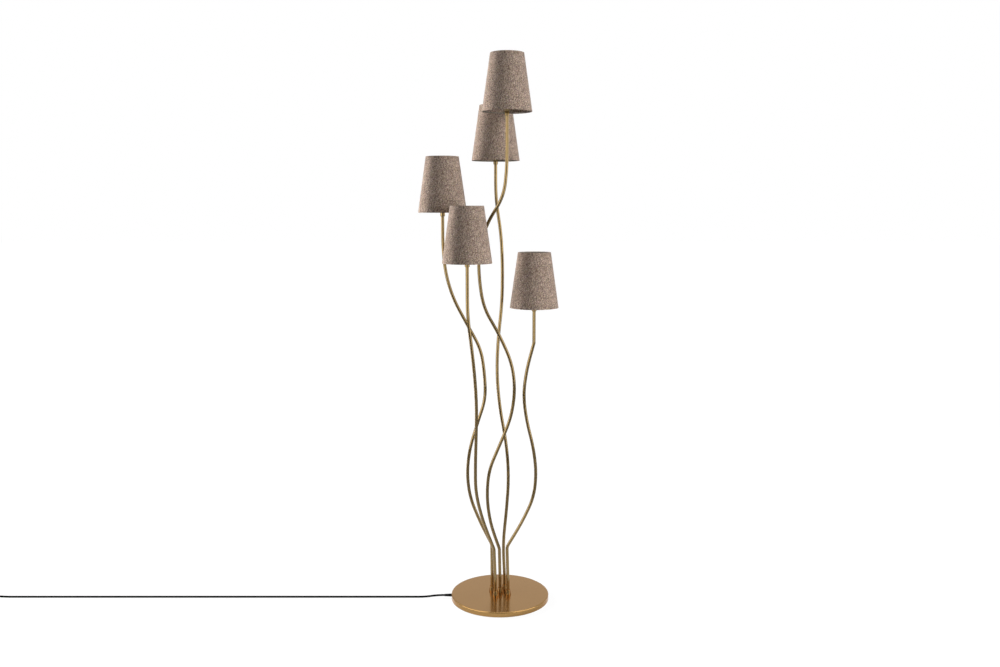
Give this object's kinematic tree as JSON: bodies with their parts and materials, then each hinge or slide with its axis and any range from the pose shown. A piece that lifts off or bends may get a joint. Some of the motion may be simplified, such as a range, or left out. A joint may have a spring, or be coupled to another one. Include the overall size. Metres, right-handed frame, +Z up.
{
  "type": "tree floor lamp",
  "caption": "Free-standing lamp: a round weighted base carries bent tubes at staggered heights, each ending in a small tapered fabric shade that turns; mains lead with a foot switch.",
  "frame": {"origin": "centre of the underside of the base, on the floor", "axes": "+Z up along the tubes; -Y is the side the picture shows; the mains lead leaves the base towards -X"},
  "size_m": [1.8949, 0.323, 1.617],
  "materials": {
    "gold_paint": "satin antique gold lacquer",
    "gold_tube": "satin antique gold lacquer on bent tube",
    "iron": "raw casting",
    "steel": "zinc-plated",
    "felt": "pressed felt",
    "white_plastic": "moulded",
    "black_plastic": "moulded",
    "black_rubber": "moulded",
    "cord_sheath": "smooth round sheath",
    "button_plastic": "moulded",
    "pin_metal": "nickel-plated",
    "bulb_glass": "frosted",
    "shade_fabric": "tweed weave on a stiff liner",
    "frame_wire": "dull zinc-plated wire"
  },
  "bodies": {
    "lamp": {"base_cover": "gold_paint", "base_weight": "iron", "base_plate": "steel", "base_pad": "felt", "plate_screws": "steel", "arm_nipples": "steel", "nipple_washers": "steel", "nipple_nuts": "steel", "terminal_block": "white_plastic", "cord_clamp": "black_rubber", "strain_relief": "black_rubber", "inner_wires": "black_rubber", "ferrule_1": "gold_tube", "tube_1": "gold_tube", "holder_cup_1": "gold_tube", "lampholder_1": "black_plastic", "shade_ring_1": "black_plastic", "bulb_1": "bulb_glass", "ferrule_2": "gold_tube", "tube_2": "gold_tube", "holder_cup_2": "gold_tube", "lampholder_2": "black_plastic", "shade_ring_2": "black_plastic", "bulb_2": "bulb_glass", "ferrule_3": "gold_tube", "tube_3": "gold_tube", "holder_cup_3": "gold_tube", "lampholder_3": "black_plastic", "shade_ring_3": "black_plastic", "bulb_3": "bulb_glass", "ferrule_4": "gold_tube", "tube_4": "gold_tube", "holder_cup_4": "gold_tube", "lampholder_4": "black_plastic", "shade_ring_4": "black_plastic", "bulb_4": "bulb_glass", "ferrule_5": "gold_tube", "tube_5": "gold_tube", "holder_cup_5": "gold_tube", "lampholder_5": "black_plastic", "shade_ring_5": "black_plastic", "bulb_5": "bulb_glass", "cord": "cord_sheath", "cord_coil": "cord_sheath", "switch_base": "black_plastic", "switch_cover": "black_plastic", "switch_spring": "steel", "plug_body": "black_plastic", "plug_pins": "pin_metal"},
    "button": {"switch_button": "button_plastic"},
    "shade_1": {"shade_cover_1": "shade_fabric", "shade_frame_1": "frame_wire"},
    "shade_2": {"shade_cover_2": "shade_fabric", "shade_frame_2": "frame_wire"},
    "shade_3": {"shade_cover_3": "shade_fabric", "shade_frame_3": "frame_wire"},
    "shade_4": {"shade_cover_4": "shade_fabric", "shade_frame_4": "frame_wire"},
    "shade_5": {"shade_cover_5": "shade_fabric", "shade_frame_5": "frame_wire"}
  },
  "joints": [
    {"name": "switch_press", "type": "slide", "parent": "lamp", "child": "button", "axis": [0, 0, -1], "range_m": [0, 0.0025], "stiffness_N_per_m": 2000, "springref_m": -0.002, "deforming": ["switch_spring"]},
    {"name": "shade_1_turn", "type": "hinge", "parent": "lamp", "child": "shade_1", "pos_m": [0.02, -0.035, 1.455], "axis": [0, 0, 1], "continuous": true},
    {"name": "shade_2_turn", "type": "hinge", "parent": "lamp", "child": "shade_2", "pos_m": [-0.013, 0.09, 1.324], "axis": [0, 0, 1], "continuous": true},
    {"name": "shade_3_turn", "type": "hinge", "parent": "lamp", "child": "shade_3", "pos_m": [-0.168, 0.02, 1.171], "axis": [0, 0, 1], "continuous": true},
    {"name": "shade_4_turn", "type": "hinge", "parent": "lamp", "child": "shade_4", "pos_m": [-0.093, -0.09, 1.029], "axis": [0, 0, 1], "continuous": true},
    {"name": "shade_5_turn", "type": "hinge", "parent": "lamp", "child": "shade_5", "pos_m": [0.1, -0.012, 0.895], "axis": [0, 0, 1], "continuous": true}
  ]
}
